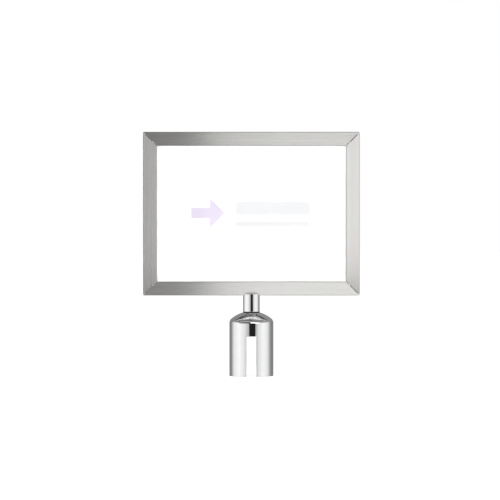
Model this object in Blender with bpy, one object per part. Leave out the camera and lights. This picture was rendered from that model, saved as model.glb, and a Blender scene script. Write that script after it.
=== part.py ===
"""Landscape sign frame that slips over the head of a queue-barrier post.

A mitred metal frame holds a sign card between two clear covers. Its right-hand rail pulls off so that the
card can be changed. The frame sits in the saddle of a short stem, and one tie rod clamps frame, stem and a
domed sleeve together. The stem turns on the sleeve's crown, and the sleeve drops over the post's head.

Metres, +Z up, the sign faces -Y. The origin is the centre of the sleeve's open rim, on the swivel's axis.
"""

import math

import bmesh
import bpy
from mathutils import Vector

# --- Sign card, covers and the pocket they lie in ---
CARD_WIDTH = 0.297
CARD_HEIGHT = 0.216
CARD_THICKNESS = 0.0003
COVER_THICKNESS = 0.002
LIP_OVERLAP = 0.0045        # how far a rail's lips reach over the covers' edges
POCKET_END_GAP = 0.0005     # from the covers' edges to the bottom of the groove
FACE_GAP = 0.0003           # between pieces that lie face to face

# --- Frame rails ---
RAIL_FACE = 0.021
RAIL_DEPTH = 0.012
RAIL_WALL = 0.0016
RAIL_EDGE_RADIUS = 0.0008
MITRE_SETBACK = 0.0003      # each fixed rail's end, back from the true mitre line
SIDE_RAIL_SETBACK = 0.001   # the pull-off rail's ends, which keep a gap that can be seen

# --- Corner keys and their screws ---
KEY_LEG = 0.034
KEY_CORNER_CUT = 0.003
KEY_SCREW_INSET = 0.026     # from the frame's outer corner, along the rail
SCREW_RADIUS = 0.0015
SCREW_HEAD_RADIUS = 0.0027
SCREW_LENGTH = 0.0062
SCREW_SOCKET_RADIUS = 0.0012
SCREW_SOCKET_DEPTH = 0.0011

# --- Tie rod, its nut and washers ---
ROD_RADIUS = 0.003
ROD_CHAMFER = 0.0005
ROD_BELOW_NUT = 0.0016
NUT_BLOCK_LENGTH = 0.040
NUT_ACROSS_FLATS = 0.010
NUT_HEIGHT = 0.006
NUT_CHAMFER = 0.0006
PLAIN_WASHER_RADIUS = 0.009
PLAIN_WASHER_THICKNESS = 0.0016
SPRING_WASHER_RADIUS = 0.0059
SPRING_WASHER_THICKNESS = 0.0016
SPRING_WASHER_SPLIT = 0.0012

# --- Stem ---
STEM_RADIUS = 0.0127
STEM_WALL = 0.0015
STEM_PLUG_LENGTH = 0.009
SADDLE_DEPTH = 0.002        # how far the stem's two ears stand up beside the bottom rail
STEM_SHOWING = 0.0262       # from the sleeve's crown to the frame's lower edge
SWIVEL_WASHER_THICKNESS = 0.0008
SWIVEL_WASHER_OVERHANG = 0.0002

# --- Domed sleeve, for a post head 63.5 mm across ---
POST_HEAD_RADIUS = 0.03175
POST_CLEARANCE = 0.0003
SLEEVE_WALL = 0.0015
SLEEVE_HEIGHT = 0.0966
CROWN_RADIUS = 0.0475
LAND_MARGIN = 0.0002        # the crown's flat land reaches this far past the swivel washer
KNUCKLE_RADIUS = 0.0085
RIM_EDGE_RADIUS = 0.0003
SLOT_WIDTH = 0.016
SLOT_HEIGHT = 0.061
SLOT_CORNER_RADIUS = 0.0005

# --- Seat plug, on which the post's top bears ---
SEAT_DEPTH = 0.0186         # from the crown down to the seat
SEAT_WEB = 0.0045           # the part of the plug that the rod clamps
NUT_POCKET_RADIUS = 0.012

SLEEVE_SEGMENTS = 48
STEM_SEGMENTS = 40
SMALL_SEGMENTS = 20
SCREW_SEGMENTS = 16
ARC_STEPS = 3
DOME_STEPS = 6
BIG = 1.0                   # longer than any piece, for cutters that run right through

# --- Worked out from the sizes above ---
OPENING_WIDTH = CARD_WIDTH - 2 * LIP_OVERLAP
OPENING_HEIGHT = CARD_HEIGHT - 2 * LIP_OVERLAP
FRAME_WIDTH = OPENING_WIDTH + 2 * RAIL_FACE
FRAME_HEIGHT = OPENING_HEIGHT + 2 * RAIL_FACE
GROOVE_DEPTH = LIP_OVERLAP + POCKET_END_GAP
GROOVE_WIDTH = CARD_THICKNESS + 2 * COVER_THICKNESS + 4 * FACE_GAP
COVER_OFFSET = (CARD_THICKNESS + COVER_THICKNESS) / 2 + FACE_GAP

CHAMBER_INNER = GROOVE_DEPTH + RAIL_WALL          # measured outwards from the rail's inner edge
CHAMBER_OUTER = RAIL_FACE - RAIL_WALL
CHAMBER_DEPTH = RAIL_DEPTH - 2 * RAIL_WALL
KEY_WIDTH = CHAMBER_OUTER - CHAMBER_INNER - 2 * FACE_GAP
KEY_DEPTH = CHAMBER_DEPTH - 2 * FACE_GAP
KEY_INSET = RAIL_WALL + FACE_GAP                  # from the frame's outer edges to the key
KEY_MIDDLE = KEY_INSET + KEY_WIDTH / 2

SLEEVE_RADIUS = POST_HEAD_RADIUS + POST_CLEARANCE + SLEEVE_WALL
LAND_RADIUS = STEM_RADIUS + SWIVEL_WASHER_OVERHANG + LAND_MARGIN
CROWN_CENTRE_Z = SLEEVE_HEIGHT - math.sqrt(CROWN_RADIUS**2 - LAND_RADIUS**2)
KNUCKLE_CENTRE_R = SLEEVE_RADIUS - KNUCKLE_RADIUS
KNUCKLE_CENTRE_Z = CROWN_CENTRE_Z + math.sqrt(
    (CROWN_RADIUS - KNUCKLE_RADIUS) ** 2 - KNUCKLE_CENTRE_R**2
)

ROD_HOLE_RADIUS = ROD_RADIUS + FACE_GAP
CROWN_UNDERSIDE_Z = SLEEVE_HEIGHT - SLEEVE_WALL
PLUG_TOP_Z = CROWN_UNDERSIDE_Z - FACE_GAP
SEAT_Z = SLEEVE_HEIGHT - SEAT_DEPTH
POCKET_CEILING_Z = PLUG_TOP_Z - SEAT_WEB
PLAIN_WASHER_Z = POCKET_CEILING_Z - FACE_GAP - PLAIN_WASHER_THICKNESS
SPRING_WASHER_Z = PLAIN_WASHER_Z - FACE_GAP - SPRING_WASHER_THICKNESS
NUT_Z = SPRING_WASHER_Z - FACE_GAP - NUT_HEIGHT

SWIVEL_WASHER_Z = SLEEVE_HEIGHT + FACE_GAP
STEM_BOTTOM_Z = SWIVEL_WASHER_Z + SWIVEL_WASHER_THICKNESS + FACE_GAP
FRAME_BOTTOM_Z = SLEEVE_HEIGHT + STEM_SHOWING
FRAME_CENTRE_Z = FRAME_BOTTOM_Z + FRAME_HEIGHT / 2
SADDLE_FLOOR_Z = FRAME_BOTTOM_Z - FACE_GAP
STEM_TOP_Z = FRAME_BOTTOM_Z + SADDLE_DEPTH
STEM_BORE_RADIUS = STEM_RADIUS - STEM_WALL
NUT_BLOCK_Z = FRAME_BOTTOM_Z + RAIL_WALL + FACE_GAP
ROD_TOP_Z = NUT_BLOCK_Z + KEY_WIDTH - FACE_GAP


# --- Tools shared by the pieces ---
def clear_scene():
    for obj in list(bpy.data.objects):
        bpy.data.objects.remove(obj)


def material(name, colour, metallic, roughness, alpha=1.0, transmission=0.0):
    made = bpy.data.materials.new(name)
    made.use_nodes = True
    shader = made.node_tree.nodes["Principled BSDF"]
    shader.inputs["Base Color"].default_value = (*colour, 1.0)
    shader.inputs["Metallic"].default_value = metallic
    shader.inputs["Roughness"].default_value = roughness
    shader.inputs["Alpha"].default_value = alpha
    shader.inputs["Transmission Weight"].default_value = transmission
    return made


def empty(name, location, parent=None):
    axis = bpy.data.objects.new(name, None)
    axis.empty_display_size = 0.02
    bpy.context.scene.collection.objects.link(axis)
    axis.parent = parent
    axis.location = location
    return axis


def piece(name, bm, finish, parent=None, location=(0, 0, 0), turn=0.0, smooth=None):
    """Makes an object from a bmesh. turn is about Y; smooth is the edge angle kept sharp, in degrees."""
    mesh = bpy.data.meshes.new(name)
    bmesh.ops.recalc_face_normals(bm, faces=bm.faces)
    bm.to_mesh(mesh)
    bm.free()
    if smooth is not None:
        mesh.shade_smooth()
        mesh.set_sharp_from_angle(angle=math.radians(smooth))
    if finish is not None:
        mesh.materials.append(finish)
    obj = bpy.data.objects.new(name, mesh)
    bpy.context.scene.collection.objects.link(obj)
    obj.parent = parent
    obj.location = location
    obj.rotation_euler = (0, turn, 0)
    return obj


def cut(target, cutter):
    """Subtracts cutter from target. The cutter follows the target and is hidden from renders."""
    cutter.parent = target
    cutter.hide_render = True
    cutter.display_type = "WIRE"
    step = target.modifiers.new("cut_" + cutter.name, "BOOLEAN")
    step.operation = "DIFFERENCE"
    step.solver = "EXACT"
    step.object = cutter


def box(low, high):
    bm = bmesh.new()
    bmesh.ops.create_cube(bm, size=1.0)
    low, high = Vector(low), Vector(high)
    for vert in bm.verts:
        vert.co = Vector(
            low[k] + (vert.co[k] + 0.5) * (high[k] - low[k]) for k in range(3)
        )
    return bm


def turned(outline, segments, closed):
    """Turns an outline of (radius, z) points about Z. closed joins its last point to its first."""
    bm = bmesh.new()
    verts = [bm.verts.new((radius, 0, z)) for radius, z in outline]
    edges = [bm.edges.new(pair) for pair in zip(verts, verts[1:])]
    if closed:
        edges.append(bm.edges.new((verts[-1], verts[0])))
    bmesh.ops.spin(
        bm,
        geom=verts + edges,
        axis=(0, 0, 1),
        cent=(0, 0, 0),
        angle=2 * math.pi,
        steps=segments,
    )
    bmesh.ops.remove_doubles(bm, verts=bm.verts, dist=1e-6)
    return bm


def ring(inner, outer, low, high, segments):
    return turned(
        [(inner, low), (outer, low), (outer, high), (inner, high)], segments, True
    )


def rod(radius, low, high, segments, chamfer=0.0):
    outline = [(0, low), (radius - chamfer, low)]
    if chamfer:
        outline += [(radius, low + chamfer), (radius, high - chamfer)]
    outline += [(radius - chamfer, high), (0, high)]
    return turned(outline, segments, False)


def prism(outline, depth):
    """Extrudes an outline of (x, z) points by depth, half to each side of y = 0."""
    bm = bmesh.new()
    face = bm.faces.new([bm.verts.new((x, -depth / 2, z)) for x, z in outline])
    grown = bmesh.ops.extrude_face_region(bm, geom=[face])
    moved = [part for part in grown["geom"] if isinstance(part, bmesh.types.BMVert)]
    bmesh.ops.translate(bm, verts=moved, vec=(0, depth, 0))
    return bm


def arc(centre, radius, start, end, steps):
    """Points on an arc from start to end degrees, both ends included."""
    return [
        (centre[0] + radius * math.cos(a), centre[1] + radius * math.sin(a))
        for a in (
            math.radians(start + (end - start) * i / steps) for i in range(steps + 1)
        )
    ]


# --- Frame ---
def rail_section():
    """The extrusion's outline as (distance out from the inner edge, y), groove included."""
    half, r = RAIL_DEPTH / 2, RAIL_EDGE_RADIUS
    groove = GROOVE_WIDTH / 2
    outline = arc((r, -half + r), r, 180, 270, ARC_STEPS)
    outline += arc((RAIL_FACE - r, -half + r), r, 270, 360, ARC_STEPS)
    outline += arc((RAIL_FACE - r, half - r), r, 0, 90, ARC_STEPS)
    outline += arc((r, half - r), r, 90, 180, ARC_STEPS)
    outline += [(0, groove), (GROOVE_DEPTH, groove), (GROOVE_DEPTH, -groove), (0, -groove)]
    return outline


def rail(name, length, outer_z, turn, setback, finish, parent):
    """A rail along local X with both ends mitred. Its outer edge is outer_z from the frame's centre."""
    bm = bmesh.new()
    rings = []
    for side in (-1, 1):
        rings.append(
            [
                bm.verts.new(
                    (
                        side * (length / 2 - (RAIL_FACE - out) - setback),
                        y,
                        outer_z - RAIL_FACE + out,
                    )
                )
                for out, y in rail_section()
            ]
        )
    left, right = rings
    bm.faces.new(left)
    bm.faces.new(right)
    for i in range(len(left)):
        j = (i + 1) % len(left)
        bm.faces.new((left[i], left[j], right[j], right[i]))
    made = piece(name, bm, finish, parent, turn=turn, smooth=40)
    chamber = box(
        (-BIG, -CHAMBER_DEPTH / 2, outer_z - RAIL_FACE + CHAMBER_INNER),
        (BIG, CHAMBER_DEPTH / 2, outer_z - RAIL_FACE + CHAMBER_OUTER),
    )
    cut(made, piece(name + "_chamber", chamber, None))
    return made


def screw_outline(grow=0.0):
    """A countersunk screw's half outline with its head at z = 0; grow widens it for its hole."""
    cone = SCREW_HEAD_RADIUS - SCREW_RADIUS
    return [
        (0, 0.0),
        (SCREW_HEAD_RADIUS + grow, 0.0),
        (SCREW_RADIUS + grow, -cone),
        (SCREW_RADIUS + grow, -SCREW_LENGTH - grow),
        (0, -SCREW_LENGTH - grow),
    ]


def face_backwards(bm):
    """Turns a piece made along +Z so that it points along +Y, out of the frame's back."""
    for vert in bm.verts:
        vert.co = Vector((vert.co.x, vert.co.z, -vert.co.y))
    return bm


def key_screw(name, rails, keys, where, finish, parent):
    """A countersunk screw from the back of a rail into its corner key, and the holes for it."""
    head_y = RAIL_DEPTH / 2 - FACE_GAP / 2
    spot = Vector((where[0], head_y, where[1]))
    bm = face_backwards(turned(screw_outline(), SCREW_SEGMENTS, False))
    screw = piece(name, bm, finish, parent, spot, smooth=40)
    socket = bmesh.new()
    bmesh.ops.create_cone(
        socket,
        cap_ends=True,
        segments=6,
        radius1=SCREW_SOCKET_RADIUS,
        radius2=SCREW_SOCKET_RADIUS,
        depth=2 * SCREW_SOCKET_DEPTH,
    )
    cut(screw, piece(name + "_socket", face_backwards(socket), None))
    for target in (rails, keys):
        hole = face_backwards(
            turned(
                [(0, FACE_GAP), (SCREW_HEAD_RADIUS + FACE_GAP, FACE_GAP)]
                + screw_outline(FACE_GAP)[1:],
                SCREW_SEGMENTS,
                False,
            )
        )
        cutter = piece(f"{name}_hole_in_{target.name}", hole, None)
        cut(target, cutter)
        # the cutter is parented to a piece that may be turned, so it is placed in that piece's own axes
        turn = target.rotation_euler.y
        cutter.location = (
            spot.x * math.cos(turn) - spot.z * math.sin(turn),
            spot.y,
            spot.x * math.sin(turn) + spot.z * math.cos(turn),
        )
        cutter.rotation_euler = (0, -turn, 0)
    return screw


def corner_key(name, side_x, side_z, finish, parent):
    """An L-shaped key for the corner at side_x, side_z, which are -1 or 1."""
    near_x, near_z = FRAME_WIDTH / 2 - KEY_INSET, FRAME_HEIGHT / 2 - KEY_INSET
    inner_x, inner_z = near_x - KEY_WIDTH, near_z - KEY_WIDTH
    outline = [
        (near_x - KEY_CORNER_CUT, near_z),
        (near_x - KEY_LEG, near_z),
        (near_x - KEY_LEG, inner_z),
        (inner_x, inner_z),
        (inner_x, near_z - KEY_LEG),
        (near_x, near_z - KEY_LEG),
        (near_x, near_z - KEY_CORNER_CUT),
    ]
    bm = prism([(side_x * x, side_z * z) for x, z in outline], KEY_DEPTH)
    return piece(name, bm, finish, parent)


def cover(name, y, finish, parent):
    bm = box(
        (-CARD_WIDTH / 2, y - COVER_THICKNESS / 2, -CARD_HEIGHT / 2),
        (CARD_WIDTH / 2, y + COVER_THICKNESS / 2, CARD_HEIGHT / 2),
    )
    return piece(name, bm, finish, parent)


def sign_card(finish, parent):
    bm = box(
        (-CARD_WIDTH / 2, -CARD_THICKNESS / 2, -CARD_HEIGHT / 2),
        (CARD_WIDTH / 2, CARD_THICKNESS / 2, CARD_HEIGHT / 2),
    )
    return piece("sign_card", bm, finish, parent)


def build_frame(finishes, swivel):
    """The four rails, keys and screws, and the card between its covers."""
    centre = (0, 0, FRAME_CENTRE_Z)
    frame = empty("frame_centre", centre, swivel)
    side = empty("side_rail_slide_axis", centre, swivel)
    insert = empty("insert_slide_axis", centre, swivel)
    brushed, key, steel = finishes["brushed"], finishes["key"], finishes["steel"]

    half_w, half_h = FRAME_WIDTH / 2, FRAME_HEIGHT / 2
    quarter = math.pi / 2
    top = rail("top_rail", FRAME_WIDTH, half_h, 0, MITRE_SETBACK, brushed, frame)
    bottom = rail("bottom_rail", FRAME_WIDTH, half_h, math.pi, MITRE_SETBACK, brushed, frame)
    left = rail("left_rail", FRAME_HEIGHT, half_w, -quarter, MITRE_SETBACK, brushed, frame)
    right = rail("side_rail", FRAME_HEIGHT, half_w, quarter, SIDE_RAIL_SETBACK, brushed, side)
    rod_hole = rod(ROD_HOLE_RADIUS, half_h - KEY_MIDDLE, half_h + RAIL_WALL, SMALL_SEGMENTS)
    cut(bottom, piece("bottom_rail_rod_hole", rod_hole, None))

    along_x, along_z = half_w - KEY_SCREW_INSET, half_h - KEY_SCREW_INSET
    deep_x, deep_z = half_w - KEY_MIDDLE, half_h - KEY_MIDDLE
    for word, up, rails in (("top", 1, top), ("bottom", -1, bottom)):
        fixed_key = corner_key(f"corner_key_{word}_left", -1, up, key, frame)
        loose_key = corner_key(f"side_key_{word}", 1, up, key, side)
        spot_on_rail = (-along_x, up * deep_z)
        spot_on_left = (-deep_x, up * along_z)
        spot_on_side = (deep_x, up * along_z)
        key_screw(f"key_screw_{word}_rail", rails, fixed_key, spot_on_rail, steel, frame)
        key_screw(f"key_screw_left_{word}", left, fixed_key, spot_on_left, steel, frame)
        key_screw(f"key_screw_side_{word}", right, loose_key, spot_on_side, steel, side)

    cover("front_cover", -COVER_OFFSET, finishes["clear"], insert)
    cover("rear_cover", COVER_OFFSET, finishes["clear"], insert)
    sign_card(finishes["card"], insert)


# --- Stem and tie rod ---
def build_stem(finishes, swivel):
    tube = piece(
        "stem_tube",
        ring(STEM_BORE_RADIUS, STEM_RADIUS, STEM_BOTTOM_Z, STEM_TOP_Z, STEM_SEGMENTS),
        finishes["chrome"],
        swivel,
        smooth=40,
    )
    saddle_half = RAIL_DEPTH / 2 + FACE_GAP
    saddle = box((-BIG, -saddle_half, SADDLE_FLOOR_Z), (BIG, saddle_half, BIG))
    cut(tube, piece("stem_tube_saddle", saddle, None))

    plug_radius = STEM_BORE_RADIUS - FACE_GAP
    for name, low in (
        ("stem_saddle_plug", SADDLE_FLOOR_Z - STEM_PLUG_LENGTH),
        ("stem_base_plug", STEM_BOTTOM_Z),
    ):
        bm = ring(ROD_HOLE_RADIUS, plug_radius, low, low + STEM_PLUG_LENGTH, SMALL_SEGMENTS)
        piece(name, bm, finishes["steel"], swivel, smooth=40)

    low = NUT_Z - ROD_BELOW_NUT
    bm = rod(ROD_RADIUS, low, ROD_TOP_Z, SMALL_SEGMENTS, ROD_CHAMFER)
    piece("tie_rod", bm, finishes["steel"], swivel, smooth=40)

    block = box(
        (-NUT_BLOCK_LENGTH / 2, -KEY_DEPTH / 2, NUT_BLOCK_Z),
        (NUT_BLOCK_LENGTH / 2, KEY_DEPTH / 2, NUT_BLOCK_Z + KEY_WIDTH),
    )
    nut_block = piece("nut_block", block, finishes["steel"], swivel)
    thread = rod(ROD_HOLE_RADIUS, FRAME_BOTTOM_Z, FRAME_CENTRE_Z, SMALL_SEGMENTS)
    cut(nut_block, piece("nut_block_thread", thread, None))


def build_nut_and_washers(finishes, swivel):
    steel = finishes["steel"]
    plain = ring(
        ROD_HOLE_RADIUS,
        PLAIN_WASHER_RADIUS,
        PLAIN_WASHER_Z,
        PLAIN_WASHER_Z + PLAIN_WASHER_THICKNESS,
        SMALL_SEGMENTS,
    )
    piece("plain_washer", plain, steel, swivel, smooth=40)

    spring = ring(
        ROD_HOLE_RADIUS,
        SPRING_WASHER_RADIUS,
        SPRING_WASHER_Z,
        SPRING_WASHER_Z + SPRING_WASHER_THICKNESS,
        SMALL_SEGMENTS,
    )
    washer = piece("spring_washer", spring, steel, swivel, smooth=40)
    half = SPRING_WASHER_SPLIT / 2
    split = box((0, -half, SPRING_WASHER_Z - half), (BIG, half, SLEEVE_HEIGHT))
    cut(washer, piece("spring_washer_split", split, None))

    corner = NUT_ACROSS_FLATS / 2 / math.cos(math.pi / 6)
    hexagon = turned(
        [
            (0, NUT_Z),
            (corner - NUT_CHAMFER, NUT_Z),
            (corner, NUT_Z + NUT_CHAMFER),
            (corner, NUT_Z + NUT_HEIGHT),
            (0, NUT_Z + NUT_HEIGHT),
        ],
        6,
        False,
    )
    nut = piece("lock_nut", hexagon, steel, swivel)
    bore = rod(ROD_HOLE_RADIUS, NUT_Z - NUT_HEIGHT, SLEEVE_HEIGHT, SMALL_SEGMENTS)
    cut(nut, piece("lock_nut_bore", bore, None))


# --- Sleeve ---
def dome_outline(inset):
    """(radius, z) points from the sleeve's wall over the knuckle and crown to the flat land, set in by inset."""
    crown, knuckle = CROWN_RADIUS - inset, KNUCKLE_RADIUS - inset
    centre = (KNUCKLE_CENTRE_R, KNUCKLE_CENTRE_Z)
    join = math.degrees(math.asin(KNUCKLE_CENTRE_R / (CROWN_RADIUS - KNUCKLE_RADIUS)))
    land_z = SLEEVE_HEIGHT - inset
    land = math.degrees(math.acos((land_z - CROWN_CENTRE_Z) / crown))
    outline = arc(centre, knuckle, 0, 90 - join, ARC_STEPS)
    outline += arc((0, CROWN_CENTRE_Z), crown, 90 - join, 90 - land, DOME_STEPS)[1:]
    return outline


def build_sleeve(finishes):
    r = RIM_EDGE_RADIUS
    inner = SLEEVE_RADIUS - SLEEVE_WALL
    outline = [(inner, r), (inner + r, 0), (SLEEVE_RADIUS - r, 0), (SLEEVE_RADIUS, r)]
    outline += dome_outline(0.0)
    outline += [(ROD_HOLE_RADIUS, SLEEVE_HEIGHT), (ROD_HOLE_RADIUS, CROWN_UNDERSIDE_Z)]
    outline += reversed(dome_outline(SLEEVE_WALL))
    bm = turned(outline, SLEEVE_SEGMENTS, True)
    sleeve = piece("cap_sleeve", bm, finishes["chrome"], smooth=40)

    half, c = SLOT_WIDTH / 2, SLOT_CORNER_RADIUS
    slot = [(-half, -SLOT_HEIGHT), (half, -SLOT_HEIGHT)]
    slot += arc((half - c, SLOT_HEIGHT - c), c, 0, 90, ARC_STEPS)
    slot += arc((c - half, SLOT_HEIGHT - c), c, 90, 180, ARC_STEPS)
    cut(sleeve, piece("cap_sleeve_slots", prism(slot, 4 * SLEEVE_RADIUS), None))


def build_seat_plug(finishes):
    outline = [
        (ROD_HOLE_RADIUS, POCKET_CEILING_Z),
        (NUT_POCKET_RADIUS, POCKET_CEILING_Z),
        (NUT_POCKET_RADIUS, SEAT_Z),
        (SLEEVE_RADIUS - SLEEVE_WALL - FACE_GAP, SEAT_Z),
    ]
    outline += dome_outline(SLEEVE_WALL + FACE_GAP)
    outline.append((ROD_HOLE_RADIUS, PLUG_TOP_Z))
    bm = turned(outline, SLEEVE_SEGMENTS, True)
    piece("seat_plug", bm, finishes["nylon"], smooth=40)


def build_swivel_washer(finishes):
    bm = ring(
        ROD_HOLE_RADIUS,
        STEM_RADIUS + SWIVEL_WASHER_OVERHANG,
        SWIVEL_WASHER_Z,
        SWIVEL_WASHER_Z + SWIVEL_WASHER_THICKNESS,
        STEM_SEGMENTS,
    )
    piece("swivel_washer", bm, finishes["nylon"], smooth=40)


def main():
    clear_scene()
    finishes = {
        "brushed": material("brushed_aluminium", (0.74, 0.73, 0.71), 1.0, 0.32),
        "chrome": material("polished_chrome", (0.88, 0.89, 0.90), 1.0, 0.06),
        "steel": material("zinc_plated_steel", (0.62, 0.62, 0.60), 1.0, 0.35),
        "key": material("die_cast_zinc", (0.50, 0.50, 0.49), 1.0, 0.50),
        "clear": material("clear_acrylic", (0.97, 0.98, 0.98), 0.0, 0.03, 0.25, 1.0),
        "card": material("white_card", (0.95, 0.95, 0.94), 0.0, 0.60),
        "nylon": material("black_nylon", (0.03, 0.03, 0.03), 0.0, 0.45),
    }
    swivel = empty("swivel_axis", (0, 0, 0))
    build_frame(finishes, swivel)
    build_stem(finishes, swivel)
    build_nut_and_washers(finishes, swivel)
    build_sleeve(finishes)
    build_seat_plug(finishes)
    build_swivel_washer(finishes)


main()
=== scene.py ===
import math

import bmesh
import bpy
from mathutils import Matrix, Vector


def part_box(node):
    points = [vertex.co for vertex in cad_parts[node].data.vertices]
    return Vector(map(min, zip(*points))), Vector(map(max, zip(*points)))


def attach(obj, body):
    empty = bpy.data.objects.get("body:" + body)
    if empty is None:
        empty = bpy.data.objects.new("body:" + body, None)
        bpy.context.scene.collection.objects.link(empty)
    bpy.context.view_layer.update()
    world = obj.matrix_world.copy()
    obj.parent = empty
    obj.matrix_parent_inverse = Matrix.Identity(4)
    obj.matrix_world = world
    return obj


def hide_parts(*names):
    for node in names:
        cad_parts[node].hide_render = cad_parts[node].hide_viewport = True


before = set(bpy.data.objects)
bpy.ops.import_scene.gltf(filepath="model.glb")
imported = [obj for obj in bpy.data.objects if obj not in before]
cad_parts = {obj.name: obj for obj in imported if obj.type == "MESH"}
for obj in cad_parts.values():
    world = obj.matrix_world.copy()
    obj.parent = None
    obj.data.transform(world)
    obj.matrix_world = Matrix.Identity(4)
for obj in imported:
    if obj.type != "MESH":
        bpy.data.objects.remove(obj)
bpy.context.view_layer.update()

MM = 0.001

# --- Sizes read from the frame ---
RAIL_LOW, RAIL_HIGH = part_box("top_rail")
SIDE_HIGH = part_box("side_rail")[1]
LEFT_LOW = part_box("left_rail")[0]
BOTTOM_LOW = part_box("bottom_rail")[0]
COVER_LOW, COVER_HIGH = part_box("front_cover")
REAR_COVER_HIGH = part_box("rear_cover")[1]
CARD_LOW, CARD_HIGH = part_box("sign_card")
TUBE_LOW, TUBE_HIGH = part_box("stem_tube")
BASE_PLUG_LOW, BASE_PLUG_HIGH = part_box("stem_base_plug")
SADDLE_PLUG_LOW, SADDLE_PLUG_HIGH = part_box("stem_saddle_plug")
ROD_LOW, ROD_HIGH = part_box("tie_rod")
NUT_LOW, NUT_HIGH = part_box("lock_nut")
WASHER_LOW, WASHER_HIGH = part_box("plain_washer")
SPRING_LOW, SPRING_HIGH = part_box("spring_washer")
SWIVEL_LOW, SWIVEL_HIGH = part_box("swivel_washer")
PLUG_LOW, PLUG_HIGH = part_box("seat_plug")
SLEEVE_LOW, SLEEVE_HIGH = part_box("cap_sleeve")

RAIL_FACE = RAIL_HIGH.z - RAIL_LOW.z
RAIL_DEPTH = RAIL_HIGH.y - RAIL_LOW.y
FRAME_CENTRE = Vector((0, 0, (RAIL_HIGH.z + BOTTOM_LOW.z) / 2))
FRAME_WIDTH = SIDE_HIGH.x - LEFT_LOW.x
FIT_GAP = 0.3 * MM              # between pieces that fit one in the other
ROD_HOLE = ROD_HIGH.x + FIT_GAP

# --- Rails' finer sizes ---
RAIL_WALL = 1.6 * MM
RAIL_EDGE_RADIUS = 0.8 * MM
RAIL_EDGE_STEPS = 6
GROOVE_EDGE_RADIUS = 0.2 * MM
GROOVE_END_GAP = 0.5 * MM
CHAMBER_CORNER_RADIUS = 0.5 * MM
FIXED_MITRE_CHAMFER = 0.2 * MM
PULL_OFF_MITRE_CHAMFER = 0.5 * MM

# --- Keys, screws and sheets ---
KEY_CORNER_CUT = 3 * MM
KEY_TIP_CUT = 1 * MM
KEY_SIDE_GAP = 0.1 * MM
RIB_COUNT = 6
RIB_PITCH = 2.5 * MM
RIB_THICKNESS = 0.5 * MM
RIB_PROUD = 0.15 * MM           # how far a rib stands out on each side of its key
SCREW_SHANK_RADIUS = 1.5 * MM
SCREW_EDGE_WIDTH = 0.15 * MM
SCREW_EDGE_DROP = 0.12 * MM
SOCKET_ACROSS = 2.1 * MM
SOCKET_DEPTH = 1.1 * MM
COVER_EDGE = 0.2 * MM
CARD_EDGE = 0.05 * MM
INK_THICKNESS = 0.03 * MM
INK_LIFT = 0.02 * MM

# --- Stem, rod and fastenings ---
STEM_WALL = 1.5 * MM
ROD_CHAMFER = 0.5 * MM
THREAD_PITCH = 1.0 * MM
THREAD_DEPTH = 0.3 * MM
SPRING_RISE = 0.12 * MM         # each end of the split ring, up or down from its middle
SPRING_OPENING = 14             # degrees
NUT_COLLAR_HEIGHT = 1.6 * MM
NUT_CORNER_DROP = 0.9 * MM
COLLAR_LIP_RADIUS = 0.7 * MM

# --- Sleeve and seat plug ---
SLEEVE_WALL = 1.5 * MM
CROWN_RADIUS = 47.5 * MM
KNUCKLE_RADIUS = 8.5 * MM
LAND_MARGIN = 0.2 * MM          # the flat on the crown, past the swivel washer's edge
SLOT_WIDTH = 16 * MM
SLOT_HEIGHT = 61 * MM
SEAT_WEB = 4.5 * MM
NUT_POCKET_RADIUS = 12 * MM

# --- Camera, lamp and floor ---
CAMERA_DISTANCE = 4.6
CAMERA_REACH = 60
SENSOR = 36.0
FRAME_SHARE = 0.4334            # of the picture's width that the sign frame fills
AIM_DROP = 0.0554               # the camera aims this far below the frame's centre
AIM_LEFT = 0.0021               # and this far to its left
LAMP_PLACE = (-0.2, -3.0, 0.8)
LAMP_SIZE = (2.4, 1.8)
LAMP_POWER = 46
FLOOR_REACH = 14.0
FLOOR_GLOW = 0.82

# --- Mesh settings ---
SHARP_ANGLE = math.radians(30)
BEVEL_ANGLE = math.radians(35)


# --- Mesh tools ---
def add_object(name, mesh, finish=None):
    made = bpy.data.objects.new(name, mesh)
    bpy.context.scene.collection.objects.link(made)
    if finish is not None:
        mesh.materials.clear()
        mesh.materials.append(finish)
    return made


def from_bmesh(name, bm, finish):
    mesh = bpy.data.meshes.new(name)
    bmesh.ops.recalc_face_normals(bm, faces=bm.faces)
    bm.to_mesh(mesh)
    bm.free()
    mesh.shade_smooth()
    mesh.set_sharp_from_angle(angle=SHARP_ANGLE)
    return add_object(name, mesh, finish)


def settle(obj):
    """Replaces an object's mesh by what its modifiers make of it, and removes them."""
    graph = bpy.context.evaluated_depsgraph_get()
    mesh = bpy.data.meshes.new_from_object(obj.evaluated_get(graph))
    obj.modifiers.clear()
    obj.data = mesh
    return obj


def soften(obj, width, segments=2):
    """Rounds an object's sharp edges a little, keeping its broad faces' shading true."""
    step = obj.modifiers.new("soft_edges", "BEVEL")
    step.width = width
    step.segments = segments
    step.limit_method = "ANGLE"
    step.angle_limit = BEVEL_ANGLE
    step.harden_normals = True
    return settle(obj)


def level_faces(obj):
    """Keeps broad faces' shading flat up to the small rounds beside them."""
    step = obj.modifiers.new("level_faces", "WEIGHTED_NORMAL")
    step.weight = 80
    step.keep_sharp = True
    settle(obj)


def thicken(obj, wall):
    """Gives an outer skin a wall that grows inwards."""
    step = obj.modifiers.new("wall", "SOLIDIFY")
    step.thickness = wall
    step.offset = -1
    step.use_even_offset = True
    settle(obj)


def combine(obj, other, operation):
    """Cuts another object out of this one, or keeps what they share, and removes the other."""
    step = obj.modifiers.new(operation.lower(), "BOOLEAN")
    step.operation = operation
    step.solver = "EXACT"
    step.object = other
    settle(obj)
    bpy.data.objects.remove(other)


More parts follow.
